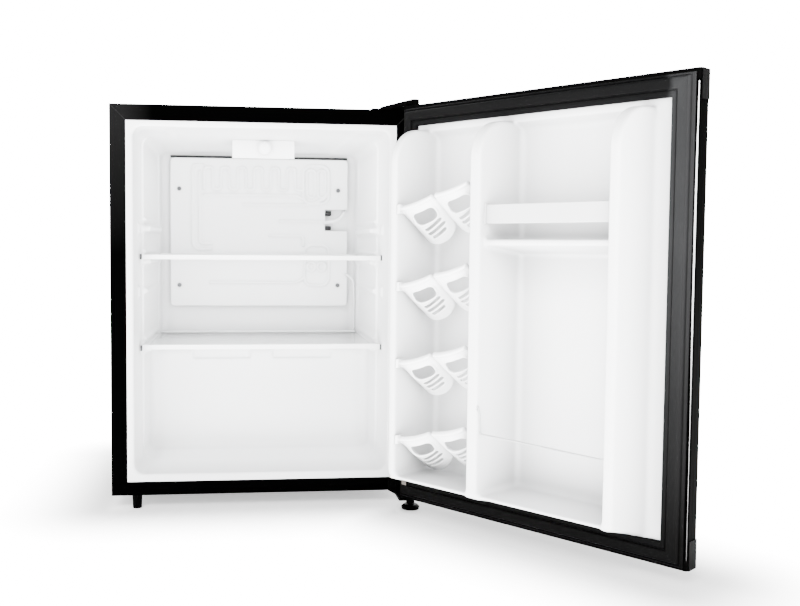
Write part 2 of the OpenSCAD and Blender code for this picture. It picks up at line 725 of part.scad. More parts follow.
module door_gasket() color("#26282a") on_door() difference() {
    union() {
        ring(gasket_out, gasket_in, in_y + door_skin, in_y + 5);
        ring(gasket_out + 3, gasket_in - 4, in_y + 4.9, front_y - seal_gap);
    }
    magnets(0.2);
    // room for the lower hinge's leg when the door is shut
    block([half_w - 34, front_y - 3.2, z0], [half_w + 1, front_y + 1, z0 + 19.5]);
}

module magnet_strips() color("#3b3024") on_door() magnets(0);

// ---------- door fittings ----------

rack_x = [180, 43.8];
rack_lip_z = z0 + 449;
rack_rise = 31;
rack_slant = atan(rack_rise / (rack_x[0] - rack_x[1]));
scoop_tilt = 40;
scoop_w = 64;
scoop_len = 74;

// sloping scoop plate: lip along the top, round foot, a window and two slots
module scoop() {
    translate([-scoop_w / 2, -scoop_len, 0]) difference() {
        union() {
            linear_extrude(2.5) union() {
                translate([0, 24]) square([scoop_w, scoop_len - 24]);
                translate([24, 24]) circle(r = 24);
                translate([scoop_w - 24, 24]) circle(r = 24);
                translate([24, 0]) square([scoop_w - 48, 30]);
            }
            translate([0, 24, 0]) cube([2.5, scoop_len - 24, 8]);
            translate([scoop_w - 2.5, 24, 0]) cube([2.5, scoop_len - 24, 8]);
            translate([0, scoop_len - 3, 0]) cube([scoop_w, 3, 7]);
        }
        translate([14, 36, -1]) cube([scoop_w - 28, 24, 6]);
        for (y = [18, 27])
            translate([16, y, -1]) cube([scoop_w - 32, 4.5, 6]);
    }
}

module can_rack(i) color(white) on_door()
    translate([rack_x[0], 0, rack_lip_z - i * rack_pitch]) rotate([0, rack_slant, 0]) mirror([1, 0, 0]) {
        for (k = [0, 1])
            translate([scoop_w / 2 + 2 + k * (scoop_w + 3.5), in_y + 66, 0])
                rotate([scoop_tilt, 0, 0]) scoop();
        // bar behind the scoops that ties them to the wall
        translate([6, recess_y, -51]) cube([122, 28, 5]);
    }

module can_rack_1() can_rack(0);
module can_rack_2() can_rack(1);
module can_rack_3() can_rack(2);
module can_rack_4() can_rack(3);

module door_rail() color("#e3e6e8") on_door() {
    block([-157, in_y + 60, z0 + 424.7], [21.5, in_y + 63, z0 + 450.5]);
    block([21.4, in_y + 55, z0 + 423.5], [28.1, in_y + 65.5, z0 + 452.5]);
    block([-156.9, in_y + 55, z0 + 423.5], [-162.6, in_y + 65.5, z0 + 452.5]);
}

wire_r = 1.6;
wire_v = 62;

// wire guard of the bottle compartment: a bar with one long and one short upright
module bottle_wire() color("#c9cccf") on_door() {
    y = in_y + wire_v;
    zb = z0 + 135.5;
    xs = [22, -157];
    tops = [z0 + 177.5, z0 + 148];
    for (i = [0, 1]) {
        side = i == 0 ? 1 : -1;
        rod([xs[i], y, zb + 6], [xs[i], y, tops[i]], wire_r);
        translate([xs[i], y, tops[i]]) sphere(r = wire_r);
        rod([xs[i], y, tops[i]], [i == 0 ? 29.2 : -164, y, tops[i]], wire_r);
        translate([xs[i] - side * 6, y, zb + 6]) rotate([90, 0, 0])
            rotate_extrude(angle = -side * 90, start = i == 0 ? 0 : 180) translate([6, 0]) circle(r = wire_r);
    }
    rod([xs[1] + 6, y, zb], [xs[0] - 6, y, zb], wire_r);
}

outer_shell();
front_bottom_rail();
back_panel();
bottom_panel();
cabinet_foam();
cabinet_liner();
condenser_tube();
evaporator_plate();
evaporator_channels();
evaporator_spacers();
evaporator_screws();
suction_tube();
sensor_tube();
thermostat_housing();
thermostat_switch();
thermostat_knob();
shelf_glass(z0 + upper_shelf_z);  // upper_shelf_glass
shelf_front_trim(z0 + upper_shelf_z);  // upper_shelf_front_trim
shelf_rear_trim(z0 + upper_shelf_z);  // upper_shelf_rear_trim
shelf_glass(z0 + lower_shelf_z);  // lower_shelf_glass
shelf_front_trim(z0 + lower_shelf_z);  // lower_shelf_front_trim
shelf_rear_trim(z0 + lower_shelf_z);  // lower_shelf_rear_trim
compressor();
compressor_grommets();
compressor_bolts();
start_relay();
filter_drier();
compressor_tubes();
mounting_crossbar();
drain_pan();
drain_tube();
cord_gland();
front_left_foot();
levelling_foot();
rear_feet();
top_hinge_bracket();
top_hinge_pin();
top_hinge_screws();
top_hinge_cover();
bottom_hinge_bracket();
bottom_hinge_pin();
bottom_hinge_screws();
door_panel();
door_top_cap();
door_bottom_cap();
door_foam();
door_rib_cores();
door_ledge_cores();
door_liner();
door_gasket();
magnet_strips();
hinge_bushes();
can_rack_1();
can_rack_2();
can_rack_3();
can_rack_4();
door_rail();
bottle_wire();
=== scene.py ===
import json
import math
import bpy
import bmesh
import numpy as np
from mathutils import Matrix, Vector


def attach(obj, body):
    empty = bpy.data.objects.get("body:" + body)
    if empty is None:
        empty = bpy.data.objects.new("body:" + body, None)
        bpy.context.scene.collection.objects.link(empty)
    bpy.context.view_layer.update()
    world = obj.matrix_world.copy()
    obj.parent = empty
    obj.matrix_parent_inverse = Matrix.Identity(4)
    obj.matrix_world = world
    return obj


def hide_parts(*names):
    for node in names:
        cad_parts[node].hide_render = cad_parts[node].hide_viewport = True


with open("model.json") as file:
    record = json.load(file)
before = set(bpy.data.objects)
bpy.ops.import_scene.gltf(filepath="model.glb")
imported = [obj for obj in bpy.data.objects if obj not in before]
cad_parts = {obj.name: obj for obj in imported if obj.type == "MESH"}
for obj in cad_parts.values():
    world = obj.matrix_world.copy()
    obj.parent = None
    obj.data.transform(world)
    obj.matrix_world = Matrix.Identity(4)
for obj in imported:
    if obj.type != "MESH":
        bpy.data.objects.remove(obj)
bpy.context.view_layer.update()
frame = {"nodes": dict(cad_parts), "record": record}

nodes = frame["nodes"]

# frame constants, in millimetres, with the floor at z 0 and the door side at -y
FACE_Y = -196.5                 # cabinet's face
BOTTOM_Z = 21.5                 # cabinet's bottom edge
HINGE_X, HINGE_Y = 233.0, FACE_Y - 33.0
OPEN = math.radians(128)        # the door's angle at rest
DOOR_X = 237.0                  # hinge-side edge of the shut door
DOOR_GAP = 12.0                 # from the cabinet's face to the shut door's inner plane
DOOR_WIDTH = 474.0


def opened(p):
    """closed-door points (mm) turned to the open position"""
    p = np.asarray(p, float)
    dx, dy = p[:, 0] - HINGE_X, p[:, 1] - HINGE_Y
    c, s = math.cos(OPEN), math.sin(OPEN)
    return np.stack([HINGE_X + dx * c - dy * s, HINGE_Y + dx * s + dy * c, p[:, 2]], 1)


def uvz(p):
    """door coordinates (u from hinge side, v out of the inner face, z) as a place on the open door"""
    p = np.asarray(p, float)
    return opened(np.stack([DOOR_X - p[:, 0], FACE_Y - DOOR_GAP + p[:, 1], BOTTOM_Z + p[:, 2]], 1))


# ---------------------------------------------------------------- materials

def material(name, a, b, rough, metal=0.0, spec=0.5, scale=12.0, bump=0.02, bump_scale=400.0, coat=0.0,
             rough_var=0.06, trans=0.0, ior=1.47, crease_shade=0.0, crease_shade_reach=0.03):
    """noise between colours a and b, with a fine bump, and painted shade that darkens the colour in creases
    where asked
    """
    made = bpy.data.materials.new(name)
    made.use_nodes = True
    tree = made.node_tree
    tree.nodes.clear()
    output = tree.nodes.new("ShaderNodeOutputMaterial")
    principled = tree.nodes.new("ShaderNodeBsdfPrincipled")
    tree.links.new(principled.outputs[0], output.inputs[0])
    coords = tree.nodes.new("ShaderNodeTexCoord")
    blotches = tree.nodes.new("ShaderNodeTexNoise")
    blotches.inputs["Scale"].default_value = scale
    blotches.inputs["Detail"].default_value = 4
    tree.links.new(coords.outputs["Object"], blotches.inputs[0])
    mix = tree.nodes.new("ShaderNodeMix")
    mix.data_type = "RGBA"
    mix.inputs[6].default_value = (*a, 1)
    mix.inputs[7].default_value = (*b, 1)
    tree.links.new(blotches.outputs[0], mix.inputs[0])
    tree.links.new(mix.outputs[2], principled.inputs["Base Color"])
    rough_range = tree.nodes.new("ShaderNodeMapRange")
    rough_range.inputs[3].default_value = max(0.02, rough - rough_var)
    rough_range.inputs[4].default_value = rough + rough_var
    tree.links.new(blotches.outputs[0], rough_range.inputs[0])
    tree.links.new(rough_range.outputs[0], principled.inputs["Roughness"])
    principled.inputs["Metallic"].default_value = metal
    principled.inputs["Specular IOR Level"].default_value = spec
    principled.inputs["IOR"].default_value = ior
    principled.inputs["Coat Weight"].default_value = coat
    principled.inputs["Coat Roughness"].default_value = 0.08
    principled.inputs["Transmission Weight"].default_value = trans
    if crease_shade:
        # painted shade: ambient occlusion makes creases and inner corners slightly darker
        creases = tree.nodes.new("ShaderNodeAmbientOcclusion")
        creases.samples = 4
        creases.inputs["Distance"].default_value = crease_shade_reach
        shade = tree.nodes.new("ShaderNodeMapRange")
        shade.inputs[1].default_value = 0.25
        shade.inputs[2].default_value = 0.95
        shade.inputs[3].default_value = 1 - crease_shade
        shade.inputs[4].default_value = 1.0
        tree.links.new(creases.outputs["AO"], shade.inputs[0])
        darker = tree.nodes.new("ShaderNodeVectorMath")
        darker.operation = "SCALE"
        tree.links.new(mix.outputs[2], darker.inputs[0])
        tree.links.new(shade.outputs[0], darker.inputs["Scale"])
        tree.links.new(darker.outputs[0], principled.inputs["Base Color"])
    if bump:
        grain = tree.nodes.new("ShaderNodeTexNoise")
        grain.inputs["Scale"].default_value = bump_scale
        grain.inputs["Detail"].default_value = 3
        tree.links.new(coords.outputs["Object"], grain.inputs[0])
        relief = tree.nodes.new("ShaderNodeBump")
        relief.inputs["Strength"].default_value = bump
        relief.inputs["Distance"].default_value = 0.001
        tree.links.new(grain.outputs[0], relief.inputs["Height"])
        tree.links.new(relief.outputs[0], principled.inputs["Normal"])
    return made


# one material for each slot of the record
# materials given crease shade get painted shade in their creases and inner corners
MATERIALS = {
    "painted_black": material("black paint", (0.0002, 0.0002, 0.0002), (0.0003, 0.0003, 0.0003), 0.42,
                              spec=0.001, bump=0.05, bump_scale=700, scale=6),
    "galvanised": material("galvanised sheet", (0.055, 0.057, 0.06), (0.09, 0.093, 0.097), 0.5, metal=0.9,
                           scale=40, bump=0.06, bump_scale=160, rough_var=0.12),
    "white_plastic": material("white liner", (0.855, 0.86, 0.865), (0.885, 0.89, 0.895), 0.4, spec=0.42,
                              scale=5, crease_shade=0.35, bump=0.015, bump_scale=260),
    "foam": material("rigid foam", (0.84, 0.81, 0.72), (0.88, 0.85, 0.77), 0.85, scale=60, bump=0.5,
                     bump_scale=500),
    "plate_aluminium": material("lacquered aluminium", (0.85, 0.855, 0.86), (0.89, 0.895, 0.90), 0.32,
                                metal=0.03, crease_shade=0.6, crease_shade_reach=0.008, spec=0.5, scale=7, bump=0.03,
                                bump_scale=300),
    "screw_steel": material("zinc screw", (0.04, 0.04, 0.042), (0.12, 0.12, 0.125), 0.3, metal=1.0,
                            scale=300, bump=0.1, bump_scale=900),
    "grey_plastic": material("grey plastic", (0.4, 0.41, 0.42), (0.47, 0.48, 0.49), 0.5, scale=20),
    "shelf_glass": material("shelf glass", (0.97, 0.992, 0.985), (0.98, 0.996, 0.99), 0.03, trans=1.0,
                            ior=1.5, rough_var=0.01, bump=0, scale=3),
    "black_enamel": material("black enamel", (0.006, 0.006, 0.007), (0.014, 0.014, 0.015), 0.32, spec=0.45,
                             scale=18, bump=0.12, bump_scale=220, coat=0.2),
    "rubber": material("rubber", (0.012, 0.012, 0.012), (0.022, 0.022, 0.023), 0.7, spec=0.3, scale=60,
                       bump=0.2),
    "black_plastic": material("black plastic", (0.0003, 0.0003, 0.0003), (0.0006, 0.0006, 0.0006), 0.45,
                              spec=0.006, scale=30, bump=0.12, bump_scale=1200),
    "copper": material("copper", (0.62, 0.27, 0.13), (0.78, 0.40, 0.22), 0.25, metal=1.0, scale=60,
                       bump=0.05),
    "hinge_steel": material("black hinge steel", (0.0003, 0.0003, 0.0003), (0.0006, 0.0006, 0.0006), 0.42,
                            spec=0.006, scale=40, bump=0.08, bump_scale=600),
    "door_black": material("door skin", (0.0001, 0.0001, 0.0001), (0.0002, 0.0002, 0.0002), 0.34,
                           spec=0.001, bump=0.06, bump_scale=800, scale=5),
    "door_liner_plastic": material("door liner", (0.71, 0.715, 0.72), (0.74, 0.745, 0.75), 0.36, spec=0.4,
                                   scale=5, crease_shade=0.5, crease_shade_reach=0.075, bump=0.015, bump_scale=260),
    "gasket": material("gasket vinyl", (0.024, 0.0245, 0.025), (0.034, 0.0345, 0.0355), 0.65, spec=0.02,
                       scale=16, bump=0.1, bump_scale=300),
    "magnet": material("magnet strip", (0.05, 0.04, 0.035), (0.08, 0.07, 0.06), 0.6, scale=30),
    "bush_plastic": material("bush", (0.6, 0.61, 0.62), (0.7, 0.71, 0.72), 0.4, scale=30),
    "rack_plastic": material("rack plastic", (0.78, 0.785, 0.79), (0.81, 0.815, 0.82), 0.26, spec=0.45,
                             scale=8, crease_shade=0.7, bump=0.01, bump_scale=300),
    "rail_plastic": material("rail plastic", (0.54, 0.545, 0.55), (0.57, 0.575, 0.58), 0.34, spec=0.5,
                             scale=9, crease_shade=0.6, bump=0.01),
    "wire_metal": material("wire", (0.36, 0.365, 0.37), (0.44, 0.445, 0.45), 0.3, metal=0.3, scale=60,
                           bump=0.02),
}
# materials of pieces that only the picture has
# the door edge's light colour is a painted highlight
MATERIALS["edge_sheen"] = material("door edge", (0.45, 0.45, 0.46), (0.75, 0.75, 0.76), 0.25, scale=4)
MATERIALS["seam"] = material("frame seam", (0.006, 0.006, 0.0062), (0.012, 0.012, 0.0122), 0.5, spec=0.02,
                             scale=30)
MATERIALS["clip"] = material("shelf clip", (0.02, 0.02, 0.021), (0.05, 0.05, 0.052), 0.5, spec=0.2, scale=60)
MATERIALS["floor"] = material("floor", (0.90, 0.90, 0.90), (0.92, 0.92, 0.92), 0.75, spec=0.1, scale=2,
                              bump=0.0)


def shader(tree):
    """the tree's principled shader"""
    return [n for n in tree.nodes if n.type == "BSDF_PRINCIPLED"][0]


def object_axes(tree):
    """sockets with a point's x, y and z, in metres"""
    coords = [n for n in tree.nodes if n.type == "TEX_COORD"][0]
    sep = tree.nodes.new("ShaderNodeSeparateXYZ")
    tree.links.new(coords.outputs["Object"], sep.inputs[0])
    return sep.outputs


def ranged(tree, src, a, b, lo, hi, kind="LINEAR"):
    """src from a to b mapped to lo to hi"""
    n = tree.nodes.new("ShaderNodeMapRange")
    n.interpolation_type = kind
    for k, value in enumerate((a, b, lo, hi)):
        n.inputs[k + 1].default_value = value
    tree.links.new(src, n.inputs[0])
    return n.outputs[0]


def maths(tree, op, a, b):
    """one math node on two sockets or numbers"""
    n = tree.nodes.new("ShaderNodeMath")
    n.operation = op
    for k, x in enumerate((a, b)):
        if isinstance(x, (int, float)):
            n.inputs[k].default_value = x
        else:
            tree.links.new(x, n.inputs[k])
    return n.outputs[0]


def scale_colour(tree, factor):
    """base colour multiplied by the factor socket"""
    base = shader(tree).inputs["Base Color"]
    scaled = tree.nodes.new("ShaderNodeVectorMath")
    scaled.operation = "SCALE"
    tree.links.new(base.links[0].from_socket, scaled.inputs[0])
    tree.links.new(factor, scaled.inputs["Scale"])
    tree.links.new(scaled.outputs[0], base)


# panes let part of the light straight through, so that they don't darken what stands below them
shader(MATERIALS["shelf_glass"].node_tree).inputs["Alpha"].default_value = 0.4

# painted reflection on the seal: its colour is lighter on the handle-side run, and towards its top
gasket_tree = MATERIALS["gasket"].node_tree
axes = object_axes(gasket_tree)
handle_run = ranged(gasket_tree, axes[0], 0.476, 0.480, 0.0, 1.0)
rising = ranged(gasket_tree, axes[2], 0.06, 0.42, 0.0, 0.33)
handle_reflection = maths(gasket_tree, "MULTIPLY", handle_run, rising)
top_reflection = ranged(gasket_tree, axes[2], 0.3, 0.6, 0.0, 0.03)
seal_reflection = maths(gasket_tree, "ADD", top_reflection, handle_reflection)
scale_colour(gasket_tree, maths(gasket_tree, "ADD", seal_reflection, 0.04))

# painted sheen: the face's paint is less black at its upper left
paint_tree = MATERIALS["painted_black"].node_tree
axes = object_axes(paint_tree)
high = ranged(paint_tree, axes[2], 0.40, 0.60, 0.0, 1.0)
leftward = ranged(paint_tree, axes[0], -0.17, -0.215, 0.0, 1.0)
sheen = maths(paint_tree, "MULTIPLY", maths(paint_tree, "MULTIPLY", high, leftward), 12.0)
scale_colour(paint_tree, maths(paint_tree, "ADD", sheen, 0.5))

# painted shade: the liner's colour is darker at its front than in its depth
liner_tree = MATERIALS["white_plastic"].node_tree
face_y = FACE_Y / 1000
depth = object_axes(liner_tree)[1]
scale_colour(liner_tree, ranged(liner_tree, depth, face_y + 0.002, face_y + 0.09, 0.78, 1.03))

# painted highlight on the door's edge, fading towards its foot
edge_tree = MATERIALS["edge_sheen"].node_tree
height = object_axes(edge_tree)[2]
scale_colour(edge_tree, ranged(edge_tree, height, 0.02, 0.6, 0.12, 1.1))

slots = {part["node"]: part["material_slot"] for part in frame["record"]["subparts"]}
for name, o in nodes.items():
    o.data.materials.clear()
    o.data.materials.append(MATERIALS[slots[name]])


def soften(o, width):
    """round an object's edges by a bevel of this width, in metres"""
    bevel = o.modifiers.new("soft edges", "BEVEL")
    bevel.width = width
    bevel.segments = 3
    bevel.limit_method = "ANGLE"
    bevel.angle_limit = math.radians(30)
    bevel.use_clamp_overlap = True
    bevel.harden_normals = False
    o.data.shade_smooth()
    o.data.set_sharp_from_angle(angle=math.radians(32))


# widths of the bevels on the CAD's own pieces, in metres: the first is for those that aren't listed
FINE_BEVEL = 0.0003
BEVELS = {"outer_shell": 0.0006, "front_bottom_rail": 0.0005, "thermostat_housing": 0.0022,
          "thermostat_knob": 0.0008, "thermostat_switch": 0.001, "upper_shelf_front_trim": 0.0014,
          "lower_shelf_front_trim": 0.0014, "upper_shelf_rear_trim": 0.001,
          "lower_shelf_rear_trim": 0.001, "upper_shelf_glass": 0.0006, "lower_shelf_glass": 0.0006,
          "door_top_cap": 0.0008, "door_bottom_cap": 0.0008, "top_hinge_bracket": 0.0006,
          "top_hinge_cover": 0.0012, "bottom_hinge_bracket": 0.0006, "front_left_foot": 0.0008,
          "levelling_foot": 0.0008, "rear_feet": 0.0008, "top_hinge_pin": 0.0005,
          "bottom_hinge_pin": 0.0004, "compressor": 0.0015, "start_relay": 0.002, "drain_pan": 0.001,
          "mounting_crossbar": 0.0005, "evaporator_screws": 0.0004, "back_panel": 0.0002,
          "bottom_panel": 0.0003}
for name, o in nodes.items():
    soften(o, BEVELS.get(name, FINE_BEVEL))


# ---------------------------------------------------------------- mesh helpers

def mesh_object(name, verts_mm, faces, slot, body, sharp=None):
    """smooth mesh on one body, with its edges over the sharp angle kept, in degrees"""
    mesh = bpy.data.meshes.new(name)
    verts = np.asarray(verts_mm, float) / 1000.0
    mesh.from_pydata(verts.tolist(), [], [tuple(int(i) for i in face) for face in faces])
    mesh.validate()
    mesh.update()
    o = bpy.data.objects.new(name, mesh)
    bpy.context.scene.collection.objects.link(o)
    mesh.materials.append(MATERIALS[slot])
    mesh.shade_smooth()
    if sharp:
        mesh.set_sharp_from_angle(angle=math.radians(sharp))
    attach(o, body)
    return o


def smin(a, b, k):
    """smaller of two fields, blended over k"""
    h = np.clip(0.5 + 0.5 * (b - a) / k, 0, 1)
    return b + (a - b) * h - k * h * (1 - h)


def smax(a, b, k):
    """larger of two fields, blended over k"""
    return -smin(-a, -b, k)


def rounded(dx, dy, half_x, half_y, r):
    """distance from a rounded rectangle about its own middle"""
    qx = np.abs(dx) - half_x + r
    qy = np.abs(dy) - half_y + r
    return np.hypot(np.clip(qx, 0, None), np.clip(qy, 0, None)) + np.minimum(np.maximum(qx, qy), 0) - r


def settled(field, verts, step):
    """points moved along the field's slope onto field = 0"""
    for _ in range(3):
        x, y, z = verts.T
        d = field(x, y, z)
        h = 0.2
        ahead = (field(x + h, y, z), field(x, y + h, z), field(x, y, z + h))
        grad = np.stack([(value - d) / h for value in ahead], 1)
        size = np.maximum((grad ** 2).sum(1), 0.2)
        move = np.clip(d / size, -0.3 * step, 0.3 * step)
        verts = verts - grad * move[:, None]
    return verts


def surface_nets(field, lo, hi, step):
    """smooth surface of field = 0 on a grid, its faces looking towards positive values"""
    axis = [np.arange(lo[i], hi[i] + step * 0.5, step, dtype=np.float32) for i in range(3)]
    d = field(axis[0][:, None, None], axis[1][None, :, None], axis[2][None, None, :])
    d = np.broadcast_to(d, (len(axis[0]), len(axis[1]), len(axis[2]))).astype(np.float32)
    inside = d < 0
    cells = tuple(n - 1 for n in d.shape)
    sums = np.zeros(cells + (3,), np.float32)
    count = np.zeros(cells, np.float32)
    edges = []
    for a in range(3):
        near = [slice(None)] * 3
        far = [slice(None)] * 3
        near[a] = slice(0, -1)
        far[a] = slice(1, None)
        crossed = inside[tuple(near)] != inside[tuple(far)]
        index = np.argwhere(crossed)
        d0 = d[tuple(near)][crossed]
        d1 = d[tuple(far)][crossed]
        t = d0 / (d0 - d1)
        points = index.astype(np.float32)
        points[:, a] += t
        b, c = [k for k in range(3) if k != a]
        quad = []
        for shift_b, shift_c in ((0, 0), (-1, 0), (-1, -1), (0, -1)):
            cell = index.copy()
            cell[:, b] += shift_b
            cell[:, c] += shift_c
            valid = ((cell >= 0) & (cell < np.array(cells))).all(1)
            kept = cell[valid]
            np.add.at(sums, tuple(kept.T), points[valid])
            np.add.at(count, tuple(kept.T), 1)
            quad.append((cell, valid))
        good = quad[0][1] & quad[1][1] & quad[2][1] & quad[3][1]
        flip = inside[tuple(near)][crossed]
        if a == 1:
            flip = ~flip
        edges.append(([corners[0][good] for corners in quad], flip[good]))
    used = count > 0
    ids = np.full(cells, -1, np.int64)
    ids[used] = np.arange(used.sum())
    verts = sums[used] / count[used][:, None] * step + np.array(lo, np.float32)
    faces = []
    for quad, flip in edges:
        corners = np.stack([ids[tuple(c.T)] for c in quad], 1)
        corners[flip] = corners[flip][:, ::-1]
        faces.append(corners[:, ::-1])
    return settled(field, verts.astype(float), step), np.concatenate(faces)


COARSE = 1.0


def cuboid(lo, hi):
    """corners and faces of a box"""
    outline = ((lo[0], lo[1]), (hi[0], lo[1]), (hi[0], hi[1]), (lo[0], hi[1]))
    c = [(x, y, z) for z in (lo[2], hi[2]) for x, y in outline]
    return c, [(0, 3, 2, 1), (4, 5, 6, 7), (0, 1, 5, 4), (1, 2, 6, 5), (2, 3, 7, 6), (3, 0, 4, 7)]


def block_piece(name, boxes, slot, body, width, place=None):
    """piece made of bevelled boxes, each given by two corners"""
    pts, faces = [], []
    for lo, hi in boxes:
        c, f = cuboid(lo, hi)
        faces += [tuple(i + len(pts) for i in q) for q in f]
        pts += c
    o = mesh_object(name, place(pts) if place else pts, faces, slot, body)
    bm = bmesh.new()
    bm.from_mesh(o.data)
    bmesh.ops.recalc_face_normals(bm, faces=bm.faces)
    bm.to_mesh(o.data)
    bm.free()
    soften(o, width)
    return o


# ---------------------------------------------------------------- door liner

# each rib's left foot, left and right crest and right foot, from the hinge side
RIBS = ((38.5, 44.0, 55.0, 56.3), (188.0, 190.0, 206.5, 209.6), (398.5, 400.0, 411.7, 421.0))
CREST = 74.0                    # height of the ribs
RIB_TOP = 565.0
RIB_ARC = 54.0                  # radius of the ribs' rounded tops


def door_field(u, v, z):
    """negative in the door's wall, its ribs, the compartments' floor and the ledge"""
    # shallow recess between the ribs
    top = RIB_TOP - 8 * np.clip(-v / 15, 0, 1)
    recess = smax(smax(u - 400, 50 - u, 1), smax(z - top, 38 - z, 5), 9)
    base = smax(v - 1.7, -smax(recess, -15 - v, 7), 2.5)
    # top and foot shared by the ribs, in v and z
    arc_v, arc_z = CREST - RIB_ARC, RIB_TOP - RIB_ARC
    corner = np.where((v > arc_v) & (z > arc_z), np.hypot(v - arc_v, z - arc_z) - RIB_ARC,
                      np.maximum(v - CREST, z - RIB_TOP))
    under = (33.0 + 0.285 * v - z) * 0.96
    body = base
    # the ribs run softly into the compartments, and meet the flange in a tighter crease
    blend = 9 - 5.5 * np.clip((z - 548) / 12, 0, 1)
    for k, (foot_0, crest_0, crest_1, foot_1) in enumerate(RIBS):
        depth_share = (CREST - v) / CREST
        left = crest_0 - (crest_0 - foot_0) * depth_share - u
        right = u - (crest_1 + (foot_1 - crest_1) * depth_share)
        side = smax(left, right, 2)
        # the hinge-side rib stops a little higher, so that it clears the room's rounded corner
        lift = 2.8 if k == 0 else 0.0
        rib = smax(side, smax(corner, under + lift, 7), 5) - 0.8
        body = smin(body, rib, blend)
    # floor of the compartments
    sill = smax(smax(z - 55, (34 + 0.24 * v - z) * 0.97, 4), v - 70.5, 6)
    sill = smax(sill, smax(52 - u, u - 402, 1), 1)
    body = smin(body, sill, 9)
    # ledge, with its underside rising away from the wall
    ledge = smax(smax(z - 403.6, 385 + 0.14 * (v + 15) - z, 3), v - 63, 2.5)
    ledge = smax(ledge, smax(203 - u, u - 402, 1), 1)
    body = smin(body, ledge, 6.5)
    return body


v, f = surface_nets(door_field, (24, -20, 22), (452, 80, 586), 2.0 * COARSE)
liner = mesh_object("liner_of_door", uvz(v), f, "door_liner_plastic", "door")
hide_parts("door_liner")


# ---------------------------------------------------------------- cabinet liner

# half the room's width at a few depths behind the face
DEPTHS = [0, 8, 108, 111, 300, 306, 345]
HALF_WIDTHS = [200, 199.5, 198, 195.0, 188.6, 186.6, 184.6]
BACK_WALL = 345
LEDGES = (224, 371, 424)        # tops of the ledges
BUMPS = (322, 424)              # heights of the short bumps near the face


def bump_box(x, y, z, lo, hi, r):
    """distance from a box with rounded edges"""
    c = [(a + b) / 2 for a, b in zip(lo, hi)]
    h = [(b - a) / 2 - r for a, b in zip(lo, hi)]
    q = [np.abs(p - m) - n for p, m, n in zip((x, y, z), c, h)]
    outer = np.sqrt(np.clip(q[0], 0, None) ** 2 + np.clip(q[1], 0, None) ** 2 + np.clip(q[2], 0, None) ** 2)
    return outer + np.minimum(np.maximum(q[0], np.maximum(q[1], q[2])), 0) - r


def room_field(x, y, z):
    """negative outside the room's air, and in the ledges and bumps on its walls"""
    half_width = np.interp(y.ravel(), DEPTHS, HALF_WIDTHS).reshape(y.shape).astype(np.float32)
    aside = np.abs(x)
    side = aside - half_width
    # the ceiling's sides step down behind the face
    panel = np.clip((aside - 150 + 0.06 * y) / 7 + 0.5, 0, 1) * np.clip((y - 12) / 10, 0, 1)
    roof = z - (575 - 0.0188 * y - 2.0 * panel)
    floor = 33.8 + 0.002 * y - z
    box = smax(side, smax(roof, floor, 1), 17)
    box = smax(box, y - BACK_WALL, 14)
    # compressor hump with its two shallow pockets
    hump = smax(195 + 0.03 * (z - 34) - y, z - 213.5, 14)
    for x0, x1 in ((-119, -17), (22, 128)):
        pocket = smax(smax(x0 - x, x - x1, 1), smax(smax(192 - z, z - 206, 1), y - 204, 1), 4)
        hump = smax(hump, -pocket, 3)
    air = smax(box, -hump, 16)
    solid = -air
    # ledges, each with a bead above it
    for level in LEDGES:
        solid = smin(solid, bump_box(aside, y, z, (182, 100, level - 9), (215, 312, level - 0.3), 4.0), 8)
        solid = smin(solid, bump_box(aside, y, z, (190, 108, level + 8.5), (215, 318, level + 13), 2.2), 6)
    # short bumps near the face, and a long low bead
    for level in BUMPS:
        solid = smin(solid, bump_box(aside, y, z, (195.6, 54, level - 12), (215, 70, level + 3), 2.5), 5)
    solid = smin(solid, bump_box(aside, y, z, (189, 108, 313), (215, 318, 320), 3.0), 6)
    return smax(solid, -y, 3.5)


v, f = surface_nets(room_field, (-214, -3, 19), (214, 352, 589), 2.5 * COARSE)
# its rim stops at the shell's opening, and at the face
v[:, 0] = np.clip(v[:, 0], -210.45, 210.45)
v[:, 1] = np.maximum(v[:, 1], 0.0)
v[:, 2] = np.clip(v[:, 2], 21.6, 583.95)
room = mesh_object("liner_of_cabinet", v + np.array([0, FACE_Y, BOTTOM_Z]), f, "white_plastic", "cabinet")
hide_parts("cabinet_liner")


# ---------------------------------------------------------------- gasket

# lipped section of the seal, as inset from the door's edge and height over the door's inner plane
PROFILE = [(5, 0.4), (5, 2.6), (6.2, 4.4), (7.6, 4.6), (8.2, 3.2), (9.2, 3.2), (9.7, 6.5), (10.4, 9.2),
           (11.6, 10.4), (13, 10.9), (16, 11.15), (20, 11.3), (22.4, 11.2), (23.4, 10.4), (23.9, 8.6),
           (24.3, 6.9), (25.1, 6.9), (25.6, 8.2), (26.6, 8.9), (28.6, 8.7), (31.0, 7.9), (32.2, 6.6),
           (32.8, 5.0), (32.8, 1.2)]
DOOR_LOW, DOOR_HIGH = -0.9, 608.0        # where the seal's ring starts and ends in z
PINCHED = 8.9                   # height left for the seal at the bottom hinge's leg
NO_CAP = 99


